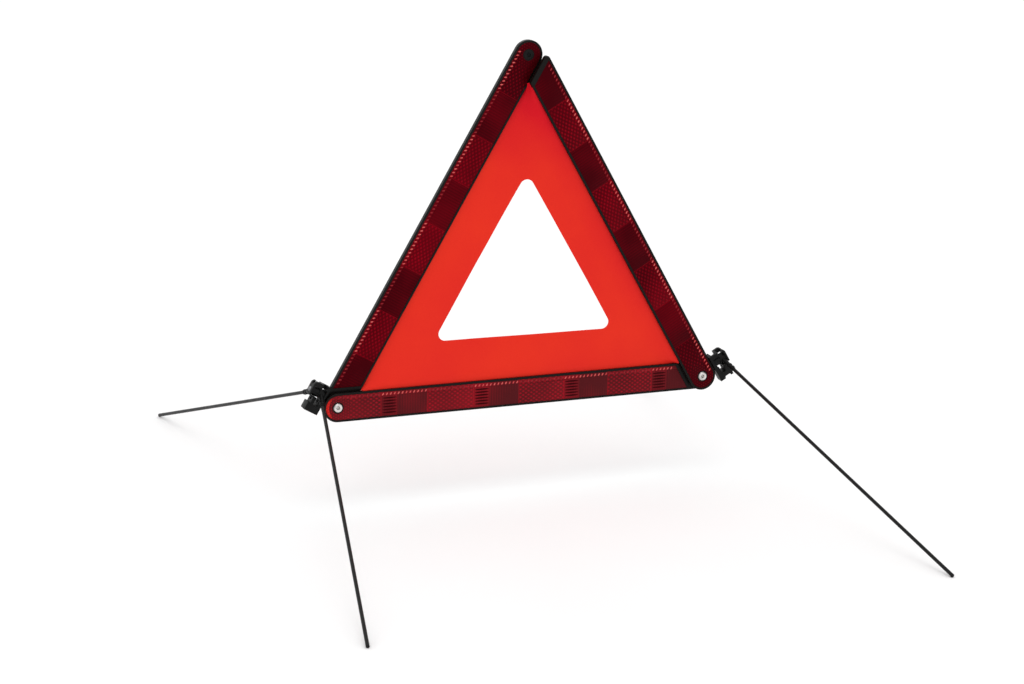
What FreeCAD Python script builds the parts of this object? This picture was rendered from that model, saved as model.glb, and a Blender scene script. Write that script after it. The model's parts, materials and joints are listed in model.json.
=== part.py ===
"""Folding warning triangle: three reflector arms, a fluorescent sheet and four wire legs.

The triangle stands in the XZ plane with its front towards -Y. The origin is on the floor under
the triangle's centre. The arms lie in three layers, so that they can fold onto each other: the
right arm in front, the bottom arm in the middle and the left arm behind.

Each arm is drawn in a frame of its own: X along the arm from its round head to its tail, Y
towards the inside of the triangle, Z towards the front, and the origin at the head's pivot.
Each leg bracket is drawn with X away from its arm, Y towards the rear and Z up along the arm.
"""
import FreeCAD, Part
import Sketcher
import math
import os
import re

Vector = FreeCAD.Vector
Rotation = FreeCAD.Rotation
Placement = FreeCAD.Placement

SIZES = {
    # the triangle
    "outer_side": 500.0,          # side of the sharp triangle that the outer edges make
    "ground_height": 103.0,       # from the floor to the bottom arm's outer edge
    "arm_width": 33.0,
    "arm_depth": 6.0,
    "layer_gap": 0.3,             # between arms in neighbouring layers
    # carrier and lens
    "rim": 2.4,                   # carrier wall beside the lens
    "ledge": 2.0,                 # step that the lens rests on
    "lens_depth": 2.4,
    "lens_recess": 0.2,           # lens front below the carrier's rim
    "lens_play": 0.15,            # gap round the lens
    "back_wall": 1.6,
    "edge_round": 0.6,
    "band": 4.5,                  # black band between a lens end and the next arm
    "tail_lap": 3.5,              # how far the right arm's cut end laps over the left arm
    "tail_corner": 3.5,           # radius of the cut end's outer corner
    "boss_round": 6.4,            # radius of the boss about a head's pivot
    # groove for the sheet
    "groove_height": 1.2,
    "groove_depth": 2.8,
    "groove_centre": 0.6,         # behind the arm's middle plane
    "groove_start": 20.0,
    # fluorescent sheet
    "sheet_thick": 0.8,
    "sheet_hem": 2.4,             # depth of the hem in the groove
    "hole_offset": 82.0,          # from the outer edge to the edge of the opening
    "hole_round": 8.0,
    "pin_count": 5,
    "pin_pitch": 80.0,
    "pin_round": 1.2,
    "pin_inset": 1.5,             # from the arm's inner edge
    # corner rivets
    "rivet_round": 2.5,
    "rivet_head": 5.2,
    "rivet_dome": 1.7,
    "rivet_bore": 1.9,
    "rivet_dimple": 2.9,
    "rivet_flange": 4.0,
    "rivet_fit": 0.08,
    "washer_round": 6.2,
    "washer_thick": 0.6,
    "spacer_round": 9.0,
    "spacer_thick": 1.0,
    "spacer_sink": 0.4,
    # latch stud
    "stud_head": 5.4,
    "stud_head_depth": 1.5,
    "stud_round": 3.0,
    "socket_round": 2.3,
    "socket_depth": 2.2,
    "ring_round": 5.5,
    "ring_thick": 0.8,
    # leg bracket, measured from the arm's pivot
    "bracket_top": 16.0,
    "bracket_drop": 18.0,
    "bracket_depth": 13.0,
    "bracket_reach": 37.3,
    "bracket_corner": 4.5,
    "plate_thick": 3.2,
    "cheek_thick": 2.2,
    "foot_reach": 34.0,
    "waist_reach": 31.0,
    "waist_top": 2.0,
    "waist_drop": 8.5,
    "window_start": 21.8,
    "window_width": 5.4,
    "window_drop": 9.5,
    "arch_round": 4.0,
    "arch_reach": 27.0,
    "arch_depth": 5.0,
    "relief": 0.7,
    # hubs and legs
    "pin_lift": 5.0,              # leg pivot above the arm's pivot, along the arm
    "inner_leg": 23.5,            # wire lines from the arm's middle line
    "outer_leg": 31.3,
    "hub_width": 7.0,
    "hub_round": 5.5,
    "hub_clear": 0.3,
    "sleeve_round": 2.6,
    "sleeve_length": 26.0,
    "rib_round": 3.1,
    "rib_width": 1.5,
    "rib_first": 18.0,
    "rib_pitch": 5.0,
    "slot_clear": 0.4,
    "wire_round": 2.0,
    "wire_bore": 2.02,
    "wire_start": 2.8,
    "leg_length": 435.0,
    "tip_chamfer": 0.7,
    "leg_pin_round": 1.5,
    "leg_pin_fit": 0.05,
    "leg_pin_head": 2.9,
    "leg_pin_head_thick": 1.2,
    "hub_washer_round": 4.2,
    "hub_washer_thick": 0.5,
    # bracket screws, at two heights from the arm's pivot
    "screw_round": 1.1,
    "screw_head": 2.1,
    "screw_head_depth": 1.4,
    "screw_bite": 2.2,
    "screw_upper": 13.5,
    "screw_lower": -3.6,
}

doc = FreeCAD.newDocument("WarningTriangle")
sheet = doc.addObject("Spreadsheet::Sheet", "Sizes")
for row, (alias, value) in enumerate(SIZES.items(), start=1):
    sheet.set("A%d" % row, alias)
    sheet.set("B%d" % row, repr(value))
    sheet.setAlias("B%d" % row, alias)
doc.recompute()


def size(alias):
    """A driving dimension, read from the sheet."""
    return float(sheet.get(alias))


def bind(obj, prop, expression):
    """Tie a property to an expression of the sheet's aliases."""
    text = re.sub(r"[a-z_]+", lambda word: "Sizes." + word[0] if word[0] in SIZES else word[0],
                  expression)
    obj.setExpression(prop, text)


# Derived sizes, as expressions of the sheet's aliases
HALF = "arm_width / 2"
SIDE = "(outer_side - sqrt(3) * arm_width)"
FRONT = "arm_depth / 2"
BACK = "-arm_depth / 2"
LENS_FRONT = "(arm_depth / 2 - lens_recess)"
LENS_BACK = "(arm_depth / 2 - lens_recess - lens_depth)"
PLATE = "(arm_width / 2 + plate_thick)"
SCREW_LIFTS = ("screw_upper", "screw_lower")
SCREW_SEAT = "arm_width / 2 + plate_thick - screw_head_depth - 0.1"

# The same lengths as numbers, for the placements
half = size("arm_width") / 2
side = size("outer_side") - math.sqrt(3) * size("arm_width")
layer = size("arm_depth") + size("layer_gap")
axis_height = size("ground_height") + half
left_corner = Vector(-side / 2, 0, axis_height)
right_corner = Vector(side / 2, 0, axis_height)
top_corner = Vector(0, 0, axis_height + side * math.sqrt(3) / 2)


# ---------------------------------------------------------------- building blocks

def box(name, corner, spans):
    """A box from its lowest corner and its three spans, all expressions."""
    solid = doc.addObject("Part::Box", name)
    for letter, text in zip("xyz", corner):
        bind(solid, "Placement.Base." + letter, text)
    for prop, text in zip(("Length", "Width", "Height"), spans):
        bind(solid, prop, text)
    return solid


TURNS = {
    "x": Rotation(Vector(0, 1, 0), 90),
    "y": Rotation(Vector(1, 0, 0), -90),
    "z": Rotation(),
}


def rod(name, axis, start, radius, length):
    """A cylinder along an axis from its start point."""
    solid = doc.addObject("Part::Cylinder", name)
    solid.Placement = Placement(Vector(), TURNS[axis])
    for letter, text in zip("xyz", start):
        bind(solid, "Placement.Base." + letter, text)
    bind(solid, "Radius", radius)
    bind(solid, "Height", length)
    return solid


def cone(name, axis, start, radius_1, radius_2, length):
    """A cone along an axis from its start point."""
    solid = doc.addObject("Part::Cone", name)
    solid.Placement = Placement(Vector(), TURNS[axis])
    for letter, text in zip("xyz", start):
        bind(solid, "Placement.Base." + letter, text)
    bind(solid, "Radius1", radius_1)
    bind(solid, "Radius2", radius_2)
    bind(solid, "Height", length)
    return solid


def join(name, items):
    """The union of several solids."""
    result = doc.addObject("Part::MultiFuse", name)
    result.Shapes = items
    result.Refine = True
    return result


def cut(name, base, tools):
    """The base less the tools."""
    tool = tools[0] if len(tools) == 1 else join(name + "_tools", tools)
    result = doc.addObject("Part::Cut", name)
    result.Base = base
    result.Tool = tool
    result.Refine = True
    return result


def group(name, items):
    """Separate solids that share one node."""
    result = doc.addObject("Part::Compound", name)
    result.Links = items
    return result


def rounded(name, base, radius, wanted):
    """The base with a fillet on every edge that wanted() picks."""
    doc.recompute()
    result = doc.addObject("Part::Fillet", name)
    result.Base = base
    edges = enumerate(base.Shape.Edges, start=1)
    result.Edges = [(number, radius, radius) for number, edge in edges if wanted(edge)]
    return result


nodes = {}


def node(label, solid, placement=Placement()):
    """Name a finished sub-part and put it in its place."""
    solid.Placement = placement
    solid.Label = label
    nodes[label] = solid


# ---------------------------------------------------------------- frames

def arm_frame(corner, heading, depth):
    """The frame of an arm that leaves a corner at a heading, in a layer in front of the middle."""
    turn = Rotation(Vector(0, 1, 0), -heading) * Rotation(Vector(1, 0, 0), 90)
    return Placement(corner + Vector(0, -depth, 0), turn)


def bracket_frame(side_name):
    """The frame of a leg bracket: X outward, Y towards the rear, Z up along the arm."""
    if side_name == "right":
        lean = Rotation(Vector(0, 1, 0), -30)
        return Placement(right_corner + Vector(0, -layer, 0), lean)
    half_turn = Rotation(Vector(0, 0, 1), 180)
    lean = half_turn * Rotation(Vector(0, 1, 0), -30)
    return Placement(left_corner + Vector(0, layer, 0), lean)


ARMS = {
    "bottom": arm_frame(left_corner, 0, 0),
    "right": arm_frame(right_corner, 120, layer),
    "left": arm_frame(top_corner, 240, -layer),
}


# ---------------------------------------------------------------- arms

def beyond_tail(name, offset):
    """A block that covers everything past a line parallel to the next arm's inner edge.

    The line is offset from the next arm's middle line, towards the inside of the triangle.
    """
    block = doc.addObject("Part::Box", name)
    bind(block, "Length", "4 * arm_width")
    bind(block, "Width", "8 * arm_width")
    bind(block, "Height", "2 * arm_depth")
    block.Placement = Placement(Vector(), Rotation(Vector(0, 0, 1), 30))
    across = "(" + offset + ")"
    bind(block, "Placement.Base.x", SIDE + " - cos(30) * " + across + " + 4 * arm_width * sin(30)")
    bind(block, "Placement.Base.y", "-sin(30) * " + across + " - 4 * arm_width * cos(30)")
    bind(block, "Placement.Base.z", "-arm_depth")
    return block


def strip(name, inset, low, high):
    """The arm's outline, drawn in by an inset, between two heights."""
    half_width = HALF + " - " + inset
    depth = high + " - " + low
    bar = box(name + "_bar", ("0", "-(" + half_width + ")", low),
              (SIDE, "2 * (" + half_width + ")", depth))
    head = rod(name + "_head", "z", ("0", "0", low), half_width, depth)
    tail = rod(name + "_tail", "z", (SIDE, "0", low), half_width, depth)
    return join(name, [bar, head, tail])


def tail_corner_edge(edge):
    """True for the outer corner of an arm's cut end."""
    middle = edge.BoundBox.Center
    upright = edge.BoundBox.ZLength > 0.9 * size("arm_depth")
    return upright and middle.x > size("outer_side") / 2 and middle.y < 1 - size("arm_width") / 2


def outline_edge(edge):
    """True for an edge round the front or the back face of a carrier."""
    low, high = edge.BoundBox.ZMin, edge.BoundBox.ZMax
    return high - low < 1e-6 and abs(abs(high) - size("arm_depth") / 2) < 1e-6


def lens_end(arm):
    """Where the lens stops, measured from the next arm's middle line."""
    if arm == "right":
        return HALF + " - tail_lap + band + 1"
    return HALF + " + band"


def groove(arm):
    """The cut in the arm's inner edge that takes the edge of the sheet."""
    corner = ("groove_start", HALF + " - groove_depth", "-groove_centre - groove_height / 2")
    spans = (SIDE + " - 2 * groove_start", "groove_depth + 1", "groove_height")
    return box(arm + "_groove", corner, spans)


def spacer_recess(name, along, face):
    """A shallow round seat for a spacer washer, in the front or back face of an arm."""
    if face == "front":
        return rod(name, "z", (along, "0", FRONT + " - spacer_sink"), "spacer_round + 0.2", "1")
    return rod(name, "z", (along, "0", BACK + " + spacer_sink - 1"), "spacer_round + 0.2", "1")


def carrier(arm):
    """The black channel that holds a lens, with a boss about its head's pivot."""
    blank = strip(arm + "_blank", "0", BACK, FRONT)
    if arm == "right":
        blank = cut(arm + "_trimmed", blank, [beyond_tail(arm + "_trim", HALF + " - tail_lap")])
        blank = rounded(arm + "_tail_round", blank, size("tail_corner"), tail_corner_edge)
    blank = rounded(arm + "_blank_round", blank, size("edge_round"), outline_edge)
    seat = cut(arm + "_seat", strip(arm + "_seat_strip", "rim", LENS_BACK, FRONT + " + 1"),
               [beyond_tail(arm + "_seat_end", lens_end(arm))])
    hollow_strip = strip(arm + "_hollow_strip", "rim - ledge", BACK + " + back_wall", LENS_BACK + " + 1")
    hollow = cut(arm + "_hollow", hollow_strip,
                 [beyond_tail(arm + "_hollow_end", lens_end(arm) + " + ledge")])
    boss = rod(arm + "_boss", "z", ("0", "0", BACK), "boss_round", "arm_depth - 2 * lens_recess")
    shell = join(arm + "_shell", [cut(arm + "_channel", blank, [seat, hollow]), boss])
    return cut(arm + "_carrier", shell, carrier_holes(arm) + [groove(arm)])


def through(name, along, radius):
    """A hole right through an arm."""
    return rod(name, "z", (along, "0", "-2 * arm_depth"), radius, "4 * arm_depth")


def carrier_holes(arm):
    """Rivet, stud, pin and screw holes and washer seats of one arm."""
    if arm == "bottom":
        tools = [through("bottom_head_hole", "0", "rivet_round"),
                 through("bottom_tail_hole", SIDE, "rivet_round"),
                 spacer_recess("bottom_head_seat", "0", "back"),
                 spacer_recess("bottom_tail_seat", SIDE, "front"),
                 rod("bottom_washer_seat", "z", (SIDE, "0", BACK + " - 1"),
                     "washer_round + 0.3", "1 + 2 * washer_thick + 0.3")]
        return tools + sheet_pins("bottom_pin_hole", "pin_round")
    if arm == "left":
        return [through("left_stud_hole", "0", "stud_round"),
                rod("left_stud_seat", "z", ("0", "0", FRONT + " - stud_head_depth"),
                    "stud_head", "2 * stud_head_depth"),
                through("left_tail_hole", SIDE, "rivet_round + rivet_fit"),
                spacer_recess("left_tail_seat", SIDE, "front")] + screw_holes_in_arm(arm)
    return [through("right_head_hole", "0", "rivet_round + rivet_fit"),
            spacer_recess("right_head_seat", "0", "back")] + screw_holes_in_arm(arm)


def screw_holes_in_arm(arm):
    """Holes for the bracket's screws, in the arm's outer edge."""
    tools = []
    for lift in SCREW_LIFTS:
        along = lift if arm == "right" else SIDE + " - " + lift
        tools.append(rod(arm + "_hole_" + lift, "y", (along, "-" + HALF + " - 1", "0"),
                         "screw_round", "1 + screw_bite"))
    return tools


def lens(arm):
    """The red reflector, which lies on the carrier's ledge."""
    plate = strip(arm + "_plate", "(rim + lens_play)", LENS_BACK, LENS_FRONT)
    end = beyond_tail(arm + "_lens_end", lens_end(arm) + " + lens_play")
    eye = through(arm + "_lens_eye", "0", "boss_round + lens_play")
    return cut(arm + "_lens", plate, [end, eye])


def sheet_pins(name, radius):
    """Short pins across the groove of the bottom arm, evenly spaced about its middle."""
    pins = []
    for number in range(int(size("pin_count"))):
        offset = number - (size("pin_count") - 1) / 2
        along = SIDE + " / 2 + %g * pin_pitch" % offset
        start = (along, HALF + " - pin_inset", BACK)
        pins.append(rod("%s_%d" % (name, number + 1), "z", start, radius, "arm_depth / 2 + 0.3"))
    return pins


for arm_name, frame in ARMS.items():
    node(arm_name + "_arm_carrier", carrier(arm_name), frame)
    node(arm_name + "_arm_lens", lens(arm_name), frame)
node("sheet_pins", group("sheet_pin_group", sheet_pins("sheet_pin", "pin_round")), ARMS["bottom"])


# ---------------------------------------------------------------- fluorescent sheet

def triangle_prism(name, inradius, low, height):
    """An upright triangle about the triangle's centre, in the bottom arm's frame."""
    prism = doc.addObject("Part::Prism", name)
    prism.Polygon = 3
    bind(prism, "Circumradius", "2 * (" + inradius + ")")
    bind(prism, "Height", height)
    prism.Placement = Placement(Vector(), Rotation(Vector(0, 0, 1), 90))
    bind(prism, "Placement.Base.x", SIDE + " / 2")
    bind(prism, "Placement.Base.y", SIDE + " / (2 * sqrt(3))")
    bind(prism, "Placement.Base.z", low)
    return prism


sheet_low = "-groove_centre - sheet_thick / 2"
centre_to_edge = "outer_side / (2 * sqrt(3))"
sheet_blank = triangle_prism("sheet_blank", centre_to_edge + " - arm_width + sheet_hem",
                             sheet_low, "sheet_thick")
opening = triangle_prism("sheet_opening", centre_to_edge + " - hole_offset", "-arm_depth", "2 * arm_depth")
opening = rounded("sheet_opening_round", opening, size("hole_round"),
                  lambda edge: edge.BoundBox.ZLength > size("arm_depth"))
sheet_holes = [opening] + sheet_pins("sheet_pin_hole", "pin_round + 0.1")
node("fluorescent_sheet", cut("sheet_cut", sheet_blank, sheet_holes), ARMS["bottom"])


# ---------------------------------------------------------------- corner rivets and top stud

def plane_of(body, role):
    """One of a body's own origin planes."""
    return next(item for item in body.Origin.OriginFeatures if item.Role == role)


def turned(name, points):
    """A part turned about the Z axis, from a profile of (radius, height) expressions."""
    body = doc.addObject("PartDesign::Body", name)
    profile = body.newObject("Sketcher::SketchObject", name + "_profile")
    profile.AttachmentSupport = [(plane_of(body, "XZ_Plane"), "")]
    profile.MapMode = "FlatFace"
    count = len(points)
    for number in range(count):
        start, end = Vector(number, number % 3, 0), Vector(number + 1, (number + 1) % 3, 0)
        profile.addGeometry(Part.LineSegment(start, end), False)
    for number in range(count):
        profile.addConstraint(Sketcher.Constraint("Coincident", number, 2, (number + 1) % count, 1))
    for number, (radius, height) in enumerate(points):
        across = profile.addConstraint(Sketcher.Constraint("DistanceX", -1, 1, number, 1, number + 1.0))
        bind(profile, "Constraints[%d]" % across, radius)
        up = profile.addConstraint(Sketcher.Constraint("DistanceY", -1, 1, number, 1, number + 1.0))
        bind(profile, "Constraints[%d]" % up, height)
    doc.recompute()
    revolution = body.newObject("PartDesign::Revolution", name + "_turn")
    revolution.Profile = profile
    revolution.ReferenceAxis = (profile, ["V_Axis"])
    revolution.Angle = 360
    doc.recompute()
    return body


def rivet(name, seat, foot):
    """A hollow rivet with a low domed head at the front and a set flange at the rear."""
    top = seat + " + rivet_dome"
    return turned(name, [
        ("rivet_bore", foot), ("rivet_flange", foot), ("rivet_flange", foot + " + washer_thick"),
        ("rivet_round", foot + " + washer_thick"), ("rivet_round", seat),
        ("rivet_head", seat), ("rivet_head", seat + " + 0.3 * rivet_dome"),
        ("0.86 * rivet_head", seat + " + 0.7 * rivet_dome"), ("0.66 * rivet_head", top),
        ("rivet_dimple", top), ("rivet_bore", seat + " + 0.2 * rivet_dome")])


def ring(name, low, height, outer, inner):
    """A flat washer."""
    return turned(name, [(inner, low), (outer, low), (outer, low + " + " + height),
                         (inner, low + " + " + height)])


left_pivot = arm_frame(left_corner, 0, 0)
right_pivot = arm_frame(right_corner, 0, 0)
pitch = "arm_depth + layer_gap"
left_back = "-1.5 * arm_depth - layer_gap"
left_washer_low = left_back + " - 0.15 - washer_thick"
node("left_corner_rivet",
     rivet("left_rivet", FRONT + " - 2 * lens_recess", left_washer_low + " - washer_thick"), left_pivot)
node("left_corner_washer",
     ring("left_washer", left_washer_low, "washer_thick", "washer_round", "rivet_round"), left_pivot)
node("right_corner_rivet",
     rivet("right_rivet", pitch + " + arm_depth / 2 - 2 * lens_recess + 0.1", BACK + " + 0.1"),
     right_pivot)
node("right_corner_washer",
     ring("right_washer", BACK + " + 0.1 + washer_thick", "washer_thick + 0.2", "washer_round",
          "rivet_round"), right_pivot)
node("left_pivot_spacer",
     ring("left_spacer", BACK + " + spacer_sink - spacer_thick", "spacer_thick", "spacer_round",
          "rivet_round"), left_pivot)
node("right_pivot_spacer",
     ring("right_spacer", FRONT + " - spacer_sink", "spacer_thick", "spacer_round", "rivet_round"),
     right_pivot)
node("latch_stud", turned("stud", [
    ("0", BACK + " - ring_thick"), ("stud_round - 0.4", BACK + " - ring_thick"),
    ("stud_round", BACK + " - ring_thick + 0.4"), ("stud_round", FRONT + " - stud_head_depth"),
    ("stud_head", FRONT + " - stud_head_depth"), ("stud_head", FRONT + " - 0.35"),
    ("stud_head - 0.3", FRONT + " - 0.05"), ("socket_round + 0.3", FRONT + " - 0.05"),
    ("socket_round", FRONT + " - 0.4"), ("socket_round", FRONT + " - socket_depth"),
    ("0", FRONT + " - socket_depth - 0.5")]), ARMS["left"])
node("latch_ring", ring("stud_ring", BACK + " - ring_thick", "ring_thick", "ring_round", "stud_round"),
     ARMS["left"])


# ---------------------------------------------------------------- leg brackets

def bracket(name):
    """A moulded clevis for two hubs, with a slotted head, a window and an arched foot."""
    depth = "bracket_depth"
    near = "-bracket_depth / 2 - 1"
    far = "bracket_depth + 2"
    blank = box(name + "_blank", (HALF, "-bracket_depth / 2", "-bracket_drop"),
                ("bracket_reach - " + HALF, depth, "bracket_top + bracket_drop"))
    corner = size("bracket_reach")
    top = size("bracket_top")

    def outer_top(edge):
        middle = edge.BoundBox.Center
        return abs(middle.x - corner) < 1e-6 and abs(middle.z - top) < 1e-6

    blank = rounded(name + "_blank_round", blank, size("bracket_corner"), outer_top)
    cheek_face = "bracket_reach - cheek_thick"
    hub_floor = "pin_lift - hub_round - hub_clear"
    tools = [
        box(name + "_cavity", (PLATE, near, hub_floor),
            (cheek_face + " - " + PLATE, far, "2 * (hub_round + hub_clear)")),
        box(name + "_waist", ("waist_reach", near, "-waist_drop"),
            ("arm_width", far, "waist_drop - waist_top")),
        box(name + "_foot_step", ("foot_reach", near, "-bracket_drop - 1"),
            ("arm_width", far, "bracket_drop")),
        box(name + "_window", ("window_start", near, "-window_drop"),
            ("window_width", far, "window_drop + 1")),
        rod(name + "_arch", "y", ("arch_reach", near, "-bracket_drop"), "arch_round",
            "1 + arch_depth"),
        box(name + "_relief", (HALF + " - 1", "arm_depth / 2", "-bracket_drop - 1"),
            ("1 + relief", "bracket_depth", "bracket_drop + bracket_top + 2")),
        box(name + "_inner_slot", ("inner_leg - sleeve_round - slot_clear",
                                   "-sleeve_round - slot_clear", "pin_lift"),
            ("2 * (sleeve_round + slot_clear)", "bracket_depth", "bracket_top")),
        box(name + "_outer_slot", ("outer_leg - sleeve_round - slot_clear",
                                   "sleeve_round + slot_clear - bracket_depth", "pin_lift"),
            ("2 * (sleeve_round + slot_clear)", "bracket_depth", "bracket_top")),
        rod(name + "_pin_hole", "x", (HALF + " + 0.6", "0", "pin_lift"), "leg_pin_round", "arm_width"),
    ]
    for lift in SCREW_LIFTS:
        tools.append(rod(name + "_way_" + lift, "x", (HALF + " - 1", "0", lift),
                         "screw_round", "plate_thick + 1"))
        tools.append(rod(name + "_access_" + lift, "x", (SCREW_SEAT, "0", lift),
                         "screw_head + 0.2", "arm_width"))
    return cut(name, blank, tools)


def screws(name):
    """The two screws that hold a bracket to the side of its arm."""
    items = []
    for lift in SCREW_LIFTS:
        label = name + "_" + lift
        shank = rod(label + "_shank", "x", (HALF + " - screw_bite", "0", lift),
                    "screw_round", "screw_bite + plate_thick - screw_head_depth - 0.1")
        head = rod(label + "_head", "x", (SCREW_SEAT, "0", lift), "screw_head", "screw_head_depth")
        slot = box(label + "_slot", (PLATE + " - 0.9", "-1.6", lift + " - 0.3"), ("2", "3.2", "0.6"))
        items.append(cut(label, join(label + "_blank", [shank, head]), [slot]))
    return group(name, items)


def leg_pin(name):
    """The pivot pin that both hubs of a bracket turn on, pressed into the bracket."""
    shank = rod(name + "_shank", "x", (HALF + " + 0.6", "0", "pin_lift"), "leg_pin_round",
                "bracket_reach - " + HALF + " - 0.6")
    head = cone(name + "_head", "x", ("bracket_reach", "0", "pin_lift"), "leg_pin_head",
                "0.6 * leg_pin_head", "leg_pin_head_thick")
    return join(name, [shank, head])


def hub_washer(name):
    """The washer between the two hubs, which gives them their friction."""
    start = ("(inner_leg + outer_leg - hub_washer_thick) / 2", "0", "pin_lift")
    disc = rod(name + "_disc", "x", start, "hub_washer_round", "hub_washer_thick")
    eye = rod(name + "_eye", "x", (HALF, "0", "pin_lift"), "leg_pin_round", "arm_width")
    return cut(name, disc, [eye])


# ---------------------------------------------------------------- hubs and legs

def hub(name):
    """A round hub with a ribbed sleeve along +X. The pivot is the origin, along Y."""
    barrel = rod(name + "_barrel", "y", ("0", "-hub_width / 2", "0"), "hub_round", "hub_width")
    sleeve = rod(name + "_sleeve", "x", ("0", "0", "0"), "sleeve_round", "sleeve_length")
    ribs = []
    for number in range(2):
        start = "rib_first + %d * rib_pitch - rib_width / 2" % number
        ribs.append(rod("%s_rib_%d" % (name, number + 1), "x", (start, "0", "0"), "rib_round", "rib_width"))
    blank = join(name + "_blank", [barrel, sleeve] + ribs)
    eye = rod(name + "_eye", "y", ("0", "-hub_width", "0"), "leg_pin_round + leg_pin_fit", "2 * hub_width")
    bore = rod(name + "_bore", "x", ("wire_start - 0.1", "0", "0"), "wire_bore", "sleeve_length")
    return cut(name, blank, [eye, bore])


def wire(name):
    """A straight wire leg along +X with a chamfered tip."""
    shank = rod(name + "_shank", "x", ("wire_start", "0", "0"), "wire_round",
                "leg_length - wire_start - tip_chamfer")
    tip = cone(name + "_tip", "x", ("leg_length - tip_chamfer", "0", "0"), "wire_round",
               "wire_round - tip_chamfer", "tip_chamfer")
    return join(name, [shank, tip])


def leg_frame(side_name, offset, facing):
    """The frame of a deployed leg whose tip stands on the floor.

    offset is the wire's distance from the arm's middle line; facing is -1 for a leg that leaves
    towards the bracket's own -Y, and 1 for the other.
    """
    mount = bracket_frame(side_name)
    pivot = mount.multVec(Vector(offset, 0, size("pin_lift")))
    reach = size("leg_length") - size("tip_chamfer")
    radius = size("wire_round")
    slope = math.asin(pivot.z / math.hypot(reach, radius)) - math.atan2(radius, reach)
    tilt = math.asin(math.sin(slope) / math.cos(math.radians(30)))
    along = Vector(0, facing * math.cos(tilt), -math.sin(tilt))
    pin = Vector(1, 0, 0)
    across = along.cross(pin)
    turn = Rotation(along, pin, across, "XYZ")
    return Placement(pivot, mount.Rotation * turn), math.degrees(tilt)


LEGS = {
    "front_right": ("right", "outer_leg", -1),
    "rear_right": ("right", "inner_leg", 1),
    "front_left": ("left", "inner_leg", 1),
    "rear_left": ("left", "outer_leg", -1),
}

for side_name in ("left", "right"):
    frame = bracket_frame(side_name)
    node(side_name + "_leg_bracket", bracket(side_name + "_bracket"), frame)
    node(side_name + "_bracket_screws", screws(side_name + "_screws"), frame)
    node(side_name + "_leg_pin", leg_pin(side_name + "_pin"), frame)
    node(side_name + "_hub_washer", hub_washer(side_name + "_friction"), frame)

for leg_name, (side_name, offset, facing) in LEGS.items():
    frame, tilt = leg_frame(side_name, size(offset), facing)
    print("%s leg: pivot %.3f %.3f %.3f, tilt %.3f deg" % (leg_name, *frame.Base, tilt))
    node(leg_name + "_leg_hub", hub(leg_name + "_hub"), frame)
    node(leg_name + "_leg_wire", wire(leg_name + "_wire"), frame)


# ---------------------------------------------------------------- checks and files

doc.recompute()
failed = [obj.Name for obj in doc.Objects if {"Invalid", "Error"} & set(obj.State)]
if failed:
    raise RuntimeError("features that failed: " + ", ".join(failed))
for label, obj in nodes.items():
    if obj.Shape.isNull() or not obj.Shape.isValid():
        raise RuntimeError("sub-part without a valid shape: " + label)
os.makedirs("parts", exist_ok=True)
for label, obj in nodes.items():
    obj.Shape.exportStep("parts/" + label + ".step")
    print("%-24s solids %d  volume %.1f" % (label, len(obj.Shape.Solids), obj.Shape.Volume))
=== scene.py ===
import json
import math

import bmesh
import bpy
from mathutils import Matrix, Vector, noise


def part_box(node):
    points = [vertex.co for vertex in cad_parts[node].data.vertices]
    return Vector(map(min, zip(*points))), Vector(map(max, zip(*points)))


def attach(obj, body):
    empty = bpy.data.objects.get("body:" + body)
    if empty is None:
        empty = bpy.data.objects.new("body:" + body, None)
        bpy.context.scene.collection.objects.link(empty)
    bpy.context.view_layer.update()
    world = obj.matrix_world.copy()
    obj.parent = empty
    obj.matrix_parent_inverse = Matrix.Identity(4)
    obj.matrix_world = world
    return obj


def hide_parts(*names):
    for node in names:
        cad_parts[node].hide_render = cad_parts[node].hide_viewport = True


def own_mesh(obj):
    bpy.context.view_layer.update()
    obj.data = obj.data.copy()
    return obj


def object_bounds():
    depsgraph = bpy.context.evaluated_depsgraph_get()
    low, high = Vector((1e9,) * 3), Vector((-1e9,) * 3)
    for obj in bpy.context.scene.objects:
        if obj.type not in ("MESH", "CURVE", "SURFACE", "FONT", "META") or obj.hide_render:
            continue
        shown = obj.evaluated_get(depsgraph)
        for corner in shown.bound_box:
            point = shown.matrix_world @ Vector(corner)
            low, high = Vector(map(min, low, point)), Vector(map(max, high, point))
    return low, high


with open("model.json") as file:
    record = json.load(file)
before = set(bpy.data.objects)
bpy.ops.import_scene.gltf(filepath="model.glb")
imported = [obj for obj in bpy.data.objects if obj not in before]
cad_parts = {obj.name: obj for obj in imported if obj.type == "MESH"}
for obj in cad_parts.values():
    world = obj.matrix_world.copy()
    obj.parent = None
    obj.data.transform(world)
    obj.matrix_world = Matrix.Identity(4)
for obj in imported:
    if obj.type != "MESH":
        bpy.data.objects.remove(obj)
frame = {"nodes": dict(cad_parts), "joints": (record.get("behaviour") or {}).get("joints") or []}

MM = 0.001
cad_low, cad_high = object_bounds()
nodes = frame["nodes"]
joints = {joint["name"]: joint for joint in frame["joints"]}

left_pivot = Vector(joints["left_fold"]["pos_m"])
right_pivot = Vector(joints["right_fold"]["pos_m"])
side = right_pivot.x - left_pivot.x
top_pivot = Vector((0, 0, left_pivot.z + side * math.sqrt(3) / 2))
centre = Vector((0, 0, left_pivot.z + side / (2 * math.sqrt(3))))

# name: pivot of the head, heading in degrees, body, side of the bead row
ARMS = {
    "bottom": (left_pivot, 0, "frame", 1),
    "right": (right_pivot, 120, "right_arm", -1),
    "left": (top_pivot, 240, "left_arm", -1),
}


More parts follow.
